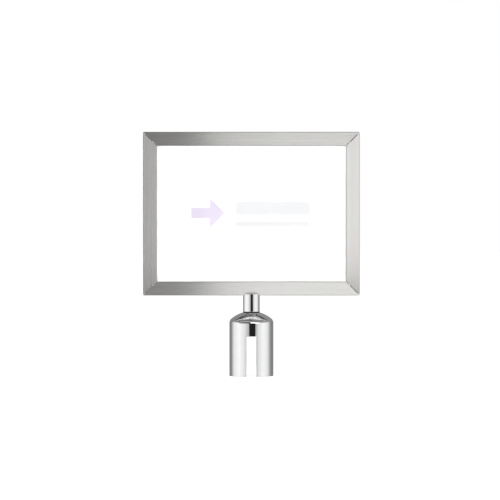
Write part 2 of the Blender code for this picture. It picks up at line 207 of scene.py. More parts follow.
def arc(centre, radius, start, end, steps):
    """Points on an arc from start to end degrees, both ends included."""
    turns = [math.radians(start + (end - start) * i / steps) for i in range(steps + 1)]
    return [
        (centre[0] + radius * math.cos(a), centre[1] + radius * math.sin(a)) for a in turns
    ]


def revolve(outline, columns, closed):
    """Turns (radius, z) points about Z. closed joins the last point to the first."""
    bm = bmesh.new()
    rows = []
    for radius, z in outline:
        if radius < 1e-7:
            rows.append([bm.verts.new((0, 0, z))] * columns)
            continue
        turns = [2 * math.pi * i / columns for i in range(columns)]
        rows.append(
            [bm.verts.new((radius * math.cos(a), radius * math.sin(a), z)) for a in turns]
        )
    pairs = list(zip(rows, rows[1:]))
    if closed:
        pairs.append((rows[-1], rows[0]))
    for lower, upper in pairs:
        for i in range(columns):
            j = (i + 1) % columns
            corners = []
            for vert in (lower[i], lower[j], upper[j], upper[i]):
                if vert not in corners:
                    corners.append(vert)
            if len(corners) > 2:
                bm.faces.new(corners)
    return bm


def slotted_shell(outline, columns, edge_angles, is_open):
    """The outer skin of a turned shell, with faces left out where is_open(middle of the face) holds.

    edge_angles are the slots' edges in degrees; the nearest columns are moved onto them.
    """
    turns = [360 * i / columns for i in range(columns)]
    for edge in edge_angles:
        nearest = min(range(columns), key=lambda i: abs(turns[i] - edge))
        turns[nearest] = edge
    bm = bmesh.new()
    rows = [
        [
            bm.verts.new((r * math.cos(math.radians(a)), r * math.sin(math.radians(a)), z))
            for a in turns
        ]
        for r, z in outline
    ]
    for lower, upper in zip(rows, rows[1:]):
        for i in range(columns):
            j = (i + 1) % columns
            corners = (lower[i], lower[j], upper[j], upper[i])
            middle = sum((v.co for v in corners), Vector()) / 4
            if not is_open(middle):
                bm.faces.new(corners)
    for vert in [v for v in bm.verts if not v.link_faces]:
        bm.verts.remove(vert)
    return bm


def hexagon(across, depth):
    """A hexagonal bar about Z, centred on the origin, measured across its flats."""
    bm = bmesh.new()
    corner = across / math.sqrt(3)
    bmesh.ops.create_cone(
        bm, cap_ends=True, segments=6, radius1=corner, radius2=corner, depth=depth
    )
    return bm


def slab(low, high):
    bm = bmesh.new()
    bmesh.ops.create_cube(bm, size=1.0)
    for vert in bm.verts:
        vert.co = Vector(low[k] + (vert.co[k] + 0.5) * (high[k] - low[k]) for k in range(3))
    return bm


def prism(outline, y_low, y_high):
    """Extrudes an outline of (x, z) points from y_low to y_high."""
    bm = bmesh.new()
    face = bm.faces.new([bm.verts.new((x, y_low, z)) for x, z in outline])
    grown = bmesh.ops.extrude_face_region(bm, geom=[face])
    moved = [part for part in grown["geom"] if isinstance(part, bmesh.types.BMVert)]
    bmesh.ops.translate(bm, verts=moved, vec=(0, y_high - y_low, 0))
    return bm


# --- Material tools ---
class Finish:
    """A material's node tree with short ways to add and join nodes."""

    def __init__(self, name):
        self.material = bpy.data.materials.new(name)
        self.material.use_nodes = True
        self.tree = self.material.node_tree
        self.shader = self.tree.nodes["Principled BSDF"]
        self.output = self.tree.nodes["Material Output"]

    def add(self, kind, **values):
        node = self.tree.nodes.new(kind)
        for key, value in values.items():
            setattr(node, key, value)
        return node

    def join(self, source, target):
        self.tree.links.new(source, target)

    def set(self, **values):
        for key, value in values.items():
            socket = self.shader.inputs[key.replace("_", " ")]
            socket.default_value = value

    def place(self, scale):
        """Object coordinates, stretched by scale along X, Y and Z."""
        where = self.add("ShaderNodeTexCoord")
        mapping = self.add("ShaderNodeMapping")
        mapping.inputs["Scale"].default_value = scale
        self.join(where.outputs["Object"], mapping.inputs["Vector"])
        return mapping.outputs["Vector"]

    def noise(self, scale, stretch=(1, 1, 1), detail=3.0, roughness=0.5):
        node = self.add("ShaderNodeTexNoise")
        node.inputs["Scale"].default_value = scale
        node.inputs["Detail"].default_value = detail
        node.inputs["Roughness"].default_value = roughness
        self.join(self.place(stretch), node.inputs["Vector"])
        return node.outputs["Fac"]

    def spread(self, source, low, high, start=0.3, end=0.7):
        """Maps a pattern from start..end to low..high."""
        node = self.add("ShaderNodeMapRange")
        for key, value in (
            ("From Min", start), ("From Max", end), ("To Min", low), ("To Max", high),
        ):
            node.inputs[key].default_value = value
        self.join(source, node.inputs["Value"])
        return node.outputs["Result"]

    def tint(self, source, stops):
        """Colours a 0..1 pattern by (place, (r, g, b)) stops."""
        node = self.add("ShaderNodeValToRGB")
        ramp = node.color_ramp
        while len(ramp.elements) < len(stops):
            ramp.elements.new(1.0)
        for element, (where, colour) in zip(ramp.elements, stops):
            element.position = where
            element.color = (*colour, 1.0)
        self.join(source, node.inputs["Fac"])
        return node.outputs["Color"]

    def multiply(self, first, second):
        node = self.add("ShaderNodeMix", data_type="RGBA", blend_type="MULTIPLY")
        node.inputs["Factor"].default_value = 1.0
        self.join(first, node.inputs["A"])
        self.join(second, node.inputs["B"])
        return node.outputs["Result"]

    def sum_of(self, first, second):
        node = self.add("ShaderNodeMath", operation="ADD")
        self.join(first, node.inputs[0])
        self.join(second, node.inputs[1])
        return node.outputs["Value"]

    def bump(self, height, distance, strength):
        node = self.add("ShaderNodeBump")
        node.inputs["Distance"].default_value = distance
        node.inputs["Strength"].default_value = strength
        self.join(height, node.inputs["Height"])
        return node.outputs["Normal"]

    def dress(self, colour, roughness=None, normal=None):
        """Joins the shader's three main patterns."""
        for label, source in (("Base Color", colour), ("Roughness", roughness), ("Normal", normal)):
            if source is not None:
                self.join(source, self.shader.inputs[label])


def brushed_metal(name, run):
    """Anodised aluminium brushed along X or Z: fine streaks, faint bands, a stretched highlight, and
    painted shade on its rounded long edges.
    """
    made = Finish(name)
    fine = {"x": (2.0, 900, 900), "z": (900, 900, 2.0)}[run]
    broad = {"x": (0.8, 160, 160), "z": (160, 160, 0.8)}[run]
    streak = made.noise(1.6, fine, detail=4, roughness=0.65)
    band = made.noise(1.3, broad, detail=2)
    cloud = made.noise(14.0, detail=2)
    colour = made.tint(streak, [(0.25, (0.735, 0.727, 0.712)), (0.75, (0.80, 0.793, 0.78))])
    banded = made.multiply(colour, made.tint(band, [(0.3, (0.97,) * 3), (0.7, (1.0,) * 3)]))
    cast = made.tint(cloud, [(0.35, (0.985, 1.0, 0.99)), (0.65, (1.0, 0.985, 0.985))])
    # Faces on the rounded long edges are darkened to 0.58 in colour: painted shade.
    edge = made.add("ShaderNodeAttribute", attribute_name="edge")
    painted_edge_shade = made.tint(edge.outputs["Fac"], [(0.0, (1.0,) * 3), (1.0, (0.58,) * 3)])
    brushed = made.multiply(made.multiply(banded, cast), painted_edge_shade)
    rough = made.sum_of(made.spread(streak, 0.25, 0.35), made.spread(band, -0.02, 0.02))
    made.dress(brushed, rough, made.bump(streak, 0.012 * MM, 0.5))
    tangent = made.add("ShaderNodeTangent", direction_type="UV_MAP", uv_map="brush")
    made.join(tangent.outputs["Tangent"], made.shader.inputs["Tangent"])
    made.set(Metallic=1.0, Anisotropic=1.0)
    return made.material


def sawn_metal_painted_shade():
    """The dull, unpolished face that a saw leaves, coloured almost black as painted shade in the mitre
    gaps.
    """
    made = Finish("sawn_aluminium_painted_shade")
    marks = made.noise(3.0, (60, 900, 60), detail=3)
    # Near-black colour on the mitre ends and chamfers: painted shade for the shadow in the joints.
    colour = made.tint(marks, [(0.3, (0.045, 0.045, 0.044)), (0.7, (0.09, 0.089, 0.087))])
    made.dress(colour, made.spread(marks, 0.5, 0.65), made.bump(marks, 0.02 * MM, 0.6))
    made.set(Metallic=1.0)
    return made.material


def polished_chrome():
    """Bright plate with the faint waves and wipe marks that polished steel keeps."""
    made = Finish("polished_chrome_plate")
    wave = made.noise(26.0, (1, 1, 0.5), detail=1)
    wipe = made.noise(6.0, (18, 18, 60), detail=4, roughness=0.6)
    spot = made.noise(90.0, detail=2)
    colour = made.tint(spot, [(0.3, (0.89, 0.895, 0.90)), (0.7, (0.93, 0.93, 0.93))])
    rough = made.spread(wipe, 0.012, 0.05, 0.35, 0.8)
    made.dress(colour, rough, made.bump(wave, 0.05 * MM, 0.6))
    made.set(Metallic=1.0)
    return made.material


def plated_steel():
    made = Finish("zinc_plated_steel")
    cloud = made.noise(220.0, detail=4)
    grain = made.noise(2200.0, detail=2)
    colour = made.tint(
        cloud, [(0.3, (0.60, 0.62, 0.64)), (0.55, (0.70, 0.70, 0.69)), (0.8, (0.72, 0.68, 0.60))]
    )
    made.dress(colour, made.spread(cloud, 0.22, 0.42), made.bump(grain, 0.01 * MM, 0.6))
    made.set(Metallic=1.0)
    return made.material


def cast_zinc():
    made = Finish("die_cast_zinc")
    flow = made.noise(60.0, (1, 1, 3), detail=4)
    grain = made.noise(1500.0, detail=3)
    colour = made.tint(flow, [(0.3, (0.42, 0.42, 0.43)), (0.7, (0.56, 0.56, 0.55))])
    made.dress(colour, made.spread(flow, 0.42, 0.58), made.bump(grain, 0.03 * MM, 0.8))
    made.set(Metallic=1.0)
    return made.material


def black_nylon():
    made = Finish("moulded_black_nylon")
    grain = made.noise(1800.0, detail=2)
    cloud = made.noise(80.0, detail=3)
    colour = made.tint(cloud, [(0.3, (0.020, 0.020, 0.021)), (0.7, (0.036, 0.036, 0.037))])
    made.dress(colour, made.spread(grain, 0.38, 0.52), made.bump(grain, 0.02 * MM, 0.7))
    return made.material


def white_nylon():
    made = Finish("white_nylon_insert")
    cloud = made.noise(400.0, detail=3)
    colour = made.tint(cloud, [(0.3, (0.74, 0.75, 0.76)), (0.7, (0.82, 0.82, 0.81))])
    made.dress(colour, made.spread(cloud, 0.35, 0.5))
    return made.material


def clear_acrylic():
    """Polished clear sheet with hairline wipe marks. Lamps shine through it onto the card."""
    made = Finish("clear_acrylic_sheet")
    wipe = made.noise(5.0, (30, 30, 8), detail=5, roughness=0.7)
    colour = made.tint(wipe, [(0.3, (0.985, 0.992, 0.990)), (0.7, (1.0, 1.0, 1.0))])
    made.dress(colour, made.spread(wipe, 0.0, 0.045, 0.45, 0.8))
    made.set(Transmission_Weight=1.0, IOR=1.49)
    path = made.add("ShaderNodeLightPath")
    through = made.add("ShaderNodeBsdfTransparent")
    through.inputs["Color"].default_value = (0.985, 0.99, 0.99, 1.0)
    mix = made.add("ShaderNodeMixShader")
    made.join(path.outputs["Is Shadow Ray"], mix.inputs["Fac"])
    made.join(made.shader.outputs["BSDF"], mix.inputs[1])
    made.join(through.outputs["BSDF"], mix.inputs[2])
    made.join(mix.outputs["Shader"], made.output.inputs["Surface"])
    return made.material


def card_stock(name, dark, light):
    """Smooth printed card: fibre mottling in colour and a very fine tooth."""
    made = Finish(name)
    fibre = made.noise(420.0, (1, 1, 2.5), detail=5, roughness=0.65)
    cloud = made.noise(18.0, detail=3)
    colour = made.multiply(
        made.tint(fibre, [(0.25, dark), (0.75, light)]),
        made.tint(cloud, [(0.3, (0.99, 0.99, 0.99)), (0.7, (1.0, 1.0, 1.0))]),
    )
    made.dress(colour, made.spread(fibre, 0.5, 0.62), made.bump(fibre, 0.01 * MM, 0.5))
    made.set(Specular_IOR_Level=0.35)
    return made.material


BRUSHED_ALONG_X = brushed_metal("brushed_aluminium_along_x", "x")
BRUSHED_ALONG_Z = brushed_metal("brushed_aluminium_along_z", "z")
CHROME = polished_chrome()
STEEL = plated_steel()
ZINC = cast_zinc()
BLACK_NYLON = black_nylon()
WHITE_NYLON = white_nylon()
ACRYLIC = clear_acrylic()
CARD = card_stock("white_card", (0.925, 0.925, 0.92), (0.955, 0.955, 0.95))
LILAC_INK = card_stock("pale_lilac_ink", (0.56, 0.50, 0.62), (0.60, 0.54, 0.66))
GREY_INK = card_stock("pale_grey_ink", (0.59, 0.59, 0.605), (0.63, 0.63, 0.645))
SAWN_PAINTED_SHADE = sawn_metal_painted_shade()


# --- Rails ---
UP, RIGHT = Vector((0, 0, 1)), Vector((1, 0, 0))
BRUSH_UV_SCALE = 10


def rail_section():
    """The extrusion's outline, its hollow, and which of the outline's sides lie on its long edges.

    Points are (distance out from the inner edge, y). The outline and the hollow run opposite ways.
    """
    half, r, g = RAIL_DEPTH / 2, RAIL_EDGE_RADIUS, GROOVE_EDGE_RADIUS
    groove_low, groove_high = COVER_LOW.y - FIT_GAP, REAR_COVER_HIGH.y + FIT_GAP
    groove_depth = COVER_HIGH.z - RAIL_LOW.z + GROOVE_END_GAP
    steps = RAIL_EDGE_STEPS
    outline = arc((r, -half + r), r, 180, 270, steps)
    outline += arc((RAIL_FACE - r, -half + r), r, 270, 360, steps)
    outline += arc((RAIL_FACE - r, half - r), r, 0, 90, steps)
    outline += arc((r, half - r), r, 90, 180, steps)
    on_edge = ([True] * steps + [False]) * 4
    outline += arc((g, groove_high + g), g, 180, 270, 2)
    outline += [(groove_depth, groove_high), (groove_depth, groove_low)]
    outline += arc((g, groove_low - g), g, 90, 180, 2)
    on_edge += [False] * (len(outline) - len(on_edge))

    near, far = groove_depth + RAIL_WALL, RAIL_FACE - RAIL_WALL
    deep, c = half - RAIL_WALL, CHAMBER_CORNER_RADIUS
    hollow = arc((near + c, deep - c), c, 180, 90, 2)
    hollow += arc((far - c, deep - c), c, 90, 0, 2)
    hollow += arc((far - c, -deep + c), c, 0, -90, 2)
    hollow += arc((near + c, -deep + c), c, -90, -180, 2)
    return outline, hollow, on_edge


def set_in(loop, width):
    """Moves every side of a closed loop of 2-D points to its left by width."""
    moved = []
    count = len(loop)
    for k in range(count):
        before, here, after = Vector(loop[k - 1]), Vector(loop[k]), Vector(loop[(k + 1) % count])
        first, second = (here - before).normalized(), (after - here).normalized()
        left = Vector((-first.y - second.y, first.x + second.x)).normalized()
        lean = left.dot(Vector((-first.y, first.x)))
        moved.append(tuple(here + left * width / lean))
    return moved


def rail(name, node, out, run, body, finish):
    """A mitred extrusion. out points from the frame's centre to the rail and run along it.

    Its two ends are called -1 and 1. A level rail meets the pull-off rail at its end 1.
    """
    low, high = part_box(node)
    reach = max(abs((low - FRAME_CENTRE).dot(out)), abs((high - FRAME_CENTRE).dot(out)))
    tip = {-1: (FRAME_CENTRE - low).dot(run), 1: (high - FRAME_CENTRE).dot(run)}
    chamfers = {-1: FIXED_MITRE_CHAMFER, 1: PULL_OFF_MITRE_CHAMFER}
    if run == UP:
        chamfers = dict.fromkeys((-1, 1), chamfers[-1 if body == "frame" else 1])
    bm = bmesh.new()
    brush = bm.loops.layers.uv.new("brush")
    # Marks the faces on the rounded long edges, which the brushed finishes darken as painted shade.
    edge = bm.faces.layers.float.new("edge")
    outline, hollow, on_edge = rail_section()
    girth = {}
    sawn_edges = {-1: [], 1: []}

    def ring(loop, side, back):
        """A loop's vertices on one mitre, or back from it."""
        verts = []
        walked = 0.0
        for k, (distance, y) in enumerate(loop):
            along = tip[side] - RAIL_FACE + distance - back
            place = FRAME_CENTRE + out * (reach - RAIL_FACE + distance) + run * side * along
            vert = bm.verts.new(place + Vector((0, y, 0)))
            walked += math.dist(loop[k], loop[k - 1]) if k else 0.0
            girth[vert] = walked
            verts.append(vert)
        return verts

    for loop, is_edge in ((outline, on_edge), (hollow, [False] * len(hollow))):
        rings = []
        for side in (-1, 1):
            chamfer = chamfers[side]
            end_rings = [ring(set_in(loop, chamfer), side, 0), ring(loop, side, chamfer)]
            rings += end_rings[::-side]
        count = len(loop)
        for number, (first, second) in enumerate(zip(rings, rings[1:])):
            for k in range(count):
                n = (k + 1) % count
                face = bm.faces.new((first[k], first[n], second[n], second[k]))
                face[edge] = float(is_edge[k])
                # The chamfer faces take the sawn finish, whose dark colour is painted shade in the
                # mitre gaps.
                face.material_index = 0 if number == 1 else 1
        for side, verts in ((-1, rings[0]), (1, rings[3])):
            sawn_edges[side] += [
                bm.edges.get((verts[k], verts[(k + 1) % count])) for k in range(count)
            ]
    # The end faces also take the sawn finish, painted dark as shade in the mitre gaps.
    for side in (-1, 1):
        sawn = bmesh.ops.triangle_fill(bm, edges=sawn_edges[side], use_beauty=True)
        for part in sawn["geom"]:
            if isinstance(part, bmesh.types.BMFace):
                part.material_index = 1
    for face in bm.faces:
        for corner in face.loops:
            vert = corner.vert
            corner[brush].uv = Vector((girth[vert], vert.co.dot(run))) * BRUSH_UV_SCALE

    made = from_bmesh(name, bm, finish)
    # The second material is the sawn finish, painted dark as shade in the mitre gaps.
    made.data.materials.append(SAWN_PAINTED_SHADE)
    for hole_node, hole_body in SCREW_NODES.items():
        if hole_body == body and near_rail(hole_node, low, high):
            combine(made, countersink(hole_node), "DIFFERENCE")
    if node == "bottom_rail":
        start, top = low.z - ROD_HOLE, low.z + 2 * RAIL_WALL
        outline = [(0, start), (ROD_HOLE, start), (ROD_HOLE, top), (0, top)]
        combine(made, from_bmesh("rod_hole", revolve(outline, 48, False), None), "DIFFERENCE")
    level_faces(made)
    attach(made, body)
    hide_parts(node)


# --- Key screws ---
SCREW_NODES = {
    "key_screw_top_rail": "frame",
    "key_screw_left_top": "frame",
    "key_screw_bottom_rail": "frame",
    "key_screw_left_bottom": "frame",
    "key_screw_side_top": "side_rail",
    "key_screw_side_bottom": "side_rail",
}


def screw_centre(node):
    low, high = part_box(node)
    return Vector(((low.x + high.x) / 2, high.y, (low.z + high.z) / 2))


def near_rail(node, low, high):
    centre = screw_centre(node)
    return low.x < centre.x < high.x and low.z < centre.z < high.z


def aim_backwards(bm, centre=Vector()):
    """Turns a piece made along +Z so that it points along +Y, and puts its origin at centre."""
    for vert in bm.verts:
        vert.co = Vector((vert.co.x, vert.co.z, -vert.co.y)) + centre
    return bm


def screw_profile(grow):
    """(radius, z) points of a screw with its head's face at z = 0, made wider by grow."""
    low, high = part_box("key_screw_top_rail")
    head = (high.x - low.x) / 2
    shank = SCREW_SHANK_RADIUS
    length = high.y - low.y
    cone = head - shank
    return [
        (0, grow), (head + grow, grow), (head + grow, 0), (shank + grow, -cone),
        (shank + grow, -length), (0, -length),
    ]


def countersink(node):
    bm = revolve(screw_profile(FIT_GAP / 2), 48, False)
    return from_bmesh("countersink", aim_backwards(bm, screw_centre(node)), None)


def one_screw():
    """A countersunk screw with a hexagon socket, its head's face at the origin, facing +Y."""
    profile = screw_profile(0.0)
    head = profile[1][0]
    eased = [(0, 0.0), (head - SCREW_EDGE_WIDTH, 0.0), (head, -SCREW_EDGE_DROP)] + profile[3:]
    screw = from_bmesh("key_screw", aim_backwards(revolve(eased, 48, False)), STEEL)
    socket = from_bmesh("socket", aim_backwards(hexagon(SOCKET_ACROSS, 2 * SOCKET_DEPTH)), None)
    combine(screw, socket, "DIFFERENCE")
    return soften(screw, 0.06 * MM, 1)


# --- Geometry node trees ---
def node_tree(name, inputs):
    """A geometry node group with named inputs, given as (name, socket kind, value)."""
    tree = bpy.data.node_groups.new(name, "GeometryNodeTree")
    tree.interface.new_socket("Geometry", in_out="INPUT", socket_type="NodeSocketGeometry")
    for label, kind, value in inputs:
        socket = tree.interface.new_socket(label, in_out="INPUT", socket_type=kind)
        if value is not None:
            socket.default_value = value
    tree.interface.new_socket("Geometry", in_out="OUTPUT", socket_type="NodeSocketGeometry")
    return tree, tree.nodes.new("NodeGroupInput"), tree.nodes.new("NodeGroupOutput")


def end_tree(tree, geometry, end, finish):
    """Ends a tree with plain geometry in one material."""
    realize = tree.nodes.new("GeometryNodeRealizeInstances")
    paint = tree.nodes.new("GeometryNodeSetMaterial")
    paint.inputs["Material"].default_value = finish
    tree.links.new(geometry, realize.inputs["Geometry"])
    tree.links.new(realize.outputs["Geometry"], paint.inputs["Geometry"])
    tree.links.new(paint.outputs["Geometry"], end.inputs["Geometry"])


def grow_piece(name, seed_mesh, tree, finish, values):
    """Runs a tree on a mesh with its named inputs set, and keeps the result as a plain mesh."""
    made = add_object(name, seed_mesh)
    step = made.modifiers.new(name, "NODES")
    step.node_group = tree
    for item in tree.interface.items_tree:
        if item.item_type == "SOCKET" and item.in_out == "INPUT" and item.name in values:
            step[item.identifier] = values[item.name]
    settle(made)
    made.data.materials.clear()
    made.data.materials.append(finish)
    return made


def copies_tree(finish):
    """Puts a copy of an object on every point of the input mesh."""
    tree, start, end = node_tree(
        "copies_on_points", [("Copy", "NodeSocketObject", None), ("Size", "NodeSocketFloat", 1.0)]
    )
    info = tree.nodes.new("GeometryNodeObjectInfo")
    scatter = tree.nodes.new("GeometryNodeInstanceOnPoints")
    join = tree.links.new
    join(start.outputs["Copy"], info.inputs["Object"])
    join(start.outputs["Geometry"], scatter.inputs["Points"])
    join(info.outputs["Geometry"], scatter.inputs["Instance"])
    join(start.outputs["Size"], scatter.inputs["Scale"])
    end_tree(tree, scatter.outputs["Instances"], end, finish)
    return tree


def thread_tree(finish):
    """A thread's ridge: a helix about Z that carries a triangular section."""
    tree, start, end = node_tree(
        "thread_ridge",
        [
            ("Radius", "NodeSocketFloat", 2.75 * MM),
            ("Length", "NodeSocketFloat", 10 * MM),
            ("Turns", "NodeSocketFloat", 10.0),
            ("Ridge", "NodeSocketFloat", 0.3 * MM),
        ],
    )
    helix = tree.nodes.new("GeometryNodeCurveSpiral")
    helix.inputs["Resolution"].default_value = 24
    section = tree.nodes.new("GeometryNodeCurvePrimitiveCircle")
    section.inputs["Resolution"].default_value = 3
    sweep = tree.nodes.new("GeometryNodeCurveToMesh")
    sweep.inputs["Fill Caps"].default_value = True
    join = tree.links.new
    join(start.outputs["Radius"], helix.inputs["Start Radius"])
    join(start.outputs["Radius"], helix.inputs["End Radius"])
    join(start.outputs["Length"], helix.inputs["Height"])
    join(start.outputs["Turns"], helix.inputs["Rotations"])
    join(start.outputs["Ridge"], section.inputs["Radius"])
    join(helix.outputs["Curve"], sweep.inputs["Curve"])
    join(section.outputs["Curve"], sweep.inputs["Profile Curve"])
    end_tree(tree, sweep.outputs["Mesh"], end, finish)
    return tree


def ribs_tree(finish):
    """Crush ribs: a row of low bars along X."""
    tree, start, end = node_tree(
        "crush_ribs",
        [
            ("Count", "NodeSocketInt", 6),
            ("First", "NodeSocketVector", None),
            ("Step", "NodeSocketVector", None),
            ("Bar", "NodeSocketVector", None),
        ],
    )
    line = tree.nodes.new("GeometryNodeMeshLine")
    bar = tree.nodes.new("GeometryNodeMeshCube")
    scatter = tree.nodes.new("GeometryNodeInstanceOnPoints")
    join = tree.links.new
    join(start.outputs["Count"], line.inputs["Count"])
    join(start.outputs["First"], line.inputs["Start Location"])
    join(start.outputs["Step"], line.inputs["Offset"])
    join(start.outputs["Bar"], bar.inputs["Size"])
    join(line.outputs["Mesh"], scatter.inputs["Points"])
    join(bar.outputs["Mesh"], scatter.inputs["Instance"])
    end_tree(tree, scatter.outputs["Instances"], end, finish)
    return tree


def make_screws():
    pattern = one_screw()
    tree = copies_tree(STEEL)
    for body in ("frame", "side_rail"):
        nodes = [node for node, on in SCREW_NODES.items() if on == body]
        seeds = bpy.data.meshes.new("screw_places")
        seeds.from_pydata([screw_centre(node) for node in nodes], [], [])
        made = grow_piece(
            f"{body}_key_screws", seeds, tree, STEEL, {"Copy": pattern, "Size": 1.0}
        )
        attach(made, body)
        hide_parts(*nodes)
    bpy.data.objects.remove(pattern)


# --- Corner keys ---
def side_key(name, node, up):
    """A cast L key with soft edges, and crush ribs on the leg that pushes into the fixed rail."""
    low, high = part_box(node)
    width = RAIL_FACE - RAIL_WALL * 2 - (COVER_HIGH.z - RAIL_LOW.z) - GROOVE_END_GAP - 2 * FIT_GAP
    near, far = (high.z, low.z) if up > 0 else (low.z, high.z)
    inner = near - up * width
    tip = KEY_TIP_CUT
    outline = [
        (high.x - KEY_CORNER_CUT, near), (low.x + tip, near), (low.x, near - up * tip),
        (low.x, inner + up * tip), (low.x + tip, inner), (high.x - width, inner),
        (high.x - width, far), (high.x, far), (high.x, near - up * KEY_CORNER_CUT),
    ]
    key = from_bmesh(name, prism(outline, low.y + KEY_SIDE_GAP, high.y - KEY_SIDE_GAP), ZINC)
    combine(key, countersink(f"key_screw_side_{'top' if up > 0 else 'bottom'}"), "DIFFERENCE")
    soften(key, 0.3 * MM, 2)
    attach(key, "side_rail")
    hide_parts(node)
    rib = Vector((RIB_THICKNESS, high.y - low.y + 2 * RIB_PROUD, width * 0.8))
    ribs = grow_piece(
        name + "_ribs", bpy.data.meshes.new(name), ribs_tree(ZINC), ZINC,
        {
            "Count": RIB_COUNT,
            "First": Vector((low.x + 3 * MM, 0, (near + inner) / 2)),
            "Step": Vector((RIB_PITCH, 0, 0)),
            "Bar": rib,
        },
    )
    soften(ribs, 0.1 * MM, 2)
    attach(ribs, "side_rail")


# --- Card and covers ---
def flat_sheet(name, node, finish, bevel):
    low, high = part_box(node)
    made = soften(from_bmesh(name, slab(low, high), finish), bevel)
    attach(made, "insert")
    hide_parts(node)


def rounded_bar(x0, z0, x1, z1, radius):
    """An outline of (x, z) points with round corners."""
    points = arc((x1 - radius, z0 + radius), radius, 270, 360, 6)
    points += arc((x1 - radius, z1 - radius), radius, 0, 90, 6)
    points += arc((x0 + radius, z1 - radius), radius, 90, 180, 6)
    return points + arc((x0 + radius, z0 + radius), radius, 180, 270, 6)


def print_shapes(side, name):
    """A pale direction arrow and two bars in place of lettering.

    side is -1 on the card's front and 1 on its back.
    """
    surface = CARD_LOW.y if side < 0 else CARD_HIGH.y
    lifts = (INK_LIFT, INK_LIFT + INK_THICKNESS)
    y_low, y_high = sorted(surface + side * lift for lift in lifts)
    middle = FRAME_CENTRE.z + 1.0 * MM

    def ink_piece(label, outlines, finish):
        whole = bmesh.new()
        for outline in outlines:
            bm = prism([(-side * x, middle + z) for x, z in outline], y_low, y_high)
            mesh = bpy.data.meshes.new(label)
            bm.to_mesh(mesh)
            bm.free()
            whole.from_mesh(mesh)
            bpy.data.meshes.remove(mesh)
        made = from_bmesh(f"{name}_{label}", whole, finish)
        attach(made, "insert")

    tip, tail, rise, stem_rise, neck = -40 * MM, -92 * MM, 24 * MM, 8 * MM, -64 * MM
    arrow = [
        (tail, -stem_rise), (neck, -stem_rise), (neck, -rise), (tip, 0), (neck, rise),
        (neck, stem_rise), (tail, stem_rise),
    ]
    ink_piece("arrow", [arrow], LILAC_INK)
    bars = [
        rounded_bar(-24 * MM, -3 * MM, 90 * MM, 17 * MM, 4 * MM),
        rounded_bar(-24 * MM, -21 * MM, 88 * MM, -13 * MM, 3 * MM),
    ]
    ink_piece("bars", bars, GREY_INK)


# --- Stem, rod and fastenings ---
def turned_piece(name, node, outline, columns, finish, body, bevel, closed=True):
    made = from_bmesh(name, revolve(outline, columns, closed), finish)
    if bevel:
        soften(made, bevel)
    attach(made, body)
    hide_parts(node)


def ring_outline(inner, low, high):
    return [(inner, low.z), (high.x, low.z), (high.x, high.z), (inner, high.z)]


def make_stem():
    radius = TUBE_HIGH.x
    saddle = RAIL_HIGH.y + FIT_GAP
    edge = math.degrees(math.asin(saddle / radius))
    floor = SADDLE_PLUG_HIGH.z
    outline = [(radius, TUBE_LOW.z), (radius, floor), (radius, TUBE_HIGH.z)]
    bm = slotted_shell(
        outline, 160, (edge, 180 - edge, 180 + edge, 360 - edge),
        lambda p: p.z > floor and abs(p.y) < saddle,
    )
    tube = from_bmesh("stem_tube_chromed", bm, CHROME)
    thicken(tube, STEM_WALL)
    soften(tube, 0.25 * MM, 3)
    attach(tube, "frame")
    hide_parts("stem_tube")

    for name, node, low, high in (
        ("stem_base_plug_turned", "stem_base_plug", BASE_PLUG_LOW, BASE_PLUG_HIGH),
        ("stem_saddle_plug_turned", "stem_saddle_plug", SADDLE_PLUG_LOW, SADDLE_PLUG_HIGH),
    ):
        outline = ring_outline(ROD_HOLE, low, high)
        turned_piece(name, node, outline, 96, STEEL, "frame", 0.3 * MM)


def make_fastenings():
    root = ROD_HIGH.x - THREAD_DEPTH
    tip, start, stop = root - ROD_CHAMFER, ROD_LOW.z + ROD_CHAMFER, ROD_HIGH.z - ROD_CHAMFER
    outline = [
        (0, ROD_LOW.z), (tip, ROD_LOW.z), (root, start), (root, stop), (tip, ROD_HIGH.z),
        (0, ROD_HIGH.z),
    ]
    turned_piece("tie_rod_core", "tie_rod", outline, 48, STEEL, "frame", 0, False)
    threaded = stop - start
    ridge = grow_piece(
        "tie_rod_thread", bpy.data.meshes.new("thread"), thread_tree(STEEL), STEEL,
        {
            "Radius": root + THREAD_DEPTH / 4, "Length": threaded,
            "Turns": threaded / THREAD_PITCH, "Ridge": THREAD_DEPTH * 0.7,
        },
    )
    for vert in ridge.data.vertices:
        vert.co.z += start
    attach(ridge, "frame")

    outline = ring_outline(ROD_HOLE, WASHER_LOW, WASHER_HIGH)
    turned_piece(
        "plain_washer_pressed", "plain_washer", outline, 96, STEEL, "frame",
        0.15 * MM,
    )
    make_spring_washer()
    make_nut()


def make_spring_washer():
    """A split ring whose ends stand a little apart along the rod."""
    bm = bmesh.new()
    low, high = SPRING_LOW.z + SPRING_RISE, SPRING_HIGH.z - SPRING_RISE
    inner, outer = ROD_HOLE, SPRING_HIGH.y
    steps = 96
    rings = []
    for i in range(steps + 1):
        turn = math.radians(SPRING_OPENING / 2 + (360 - SPRING_OPENING) * i / steps)
        lift = SPRING_RISE * (2 * i / steps - 1)
        rings.append([
            bm.verts.new((r * math.cos(turn), r * math.sin(turn), z + lift))
            for r, z in ((inner, low), (outer, low), (outer, high), (inner, high))
        ])
    for first, second in zip(rings, rings[1:]):
        for k in range(4):
            bm.faces.new((first[k], first[(k + 1) % 4], second[(k + 1) % 4], second[k]))
    bm.faces.new(rings[0])
    bm.faces.new(rings[-1])
    washer = soften(from_bmesh("spring_washer_split_ring", bm, STEEL), 0.1 * MM, 2)
    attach(washer, "frame")
    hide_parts("spring_washer")


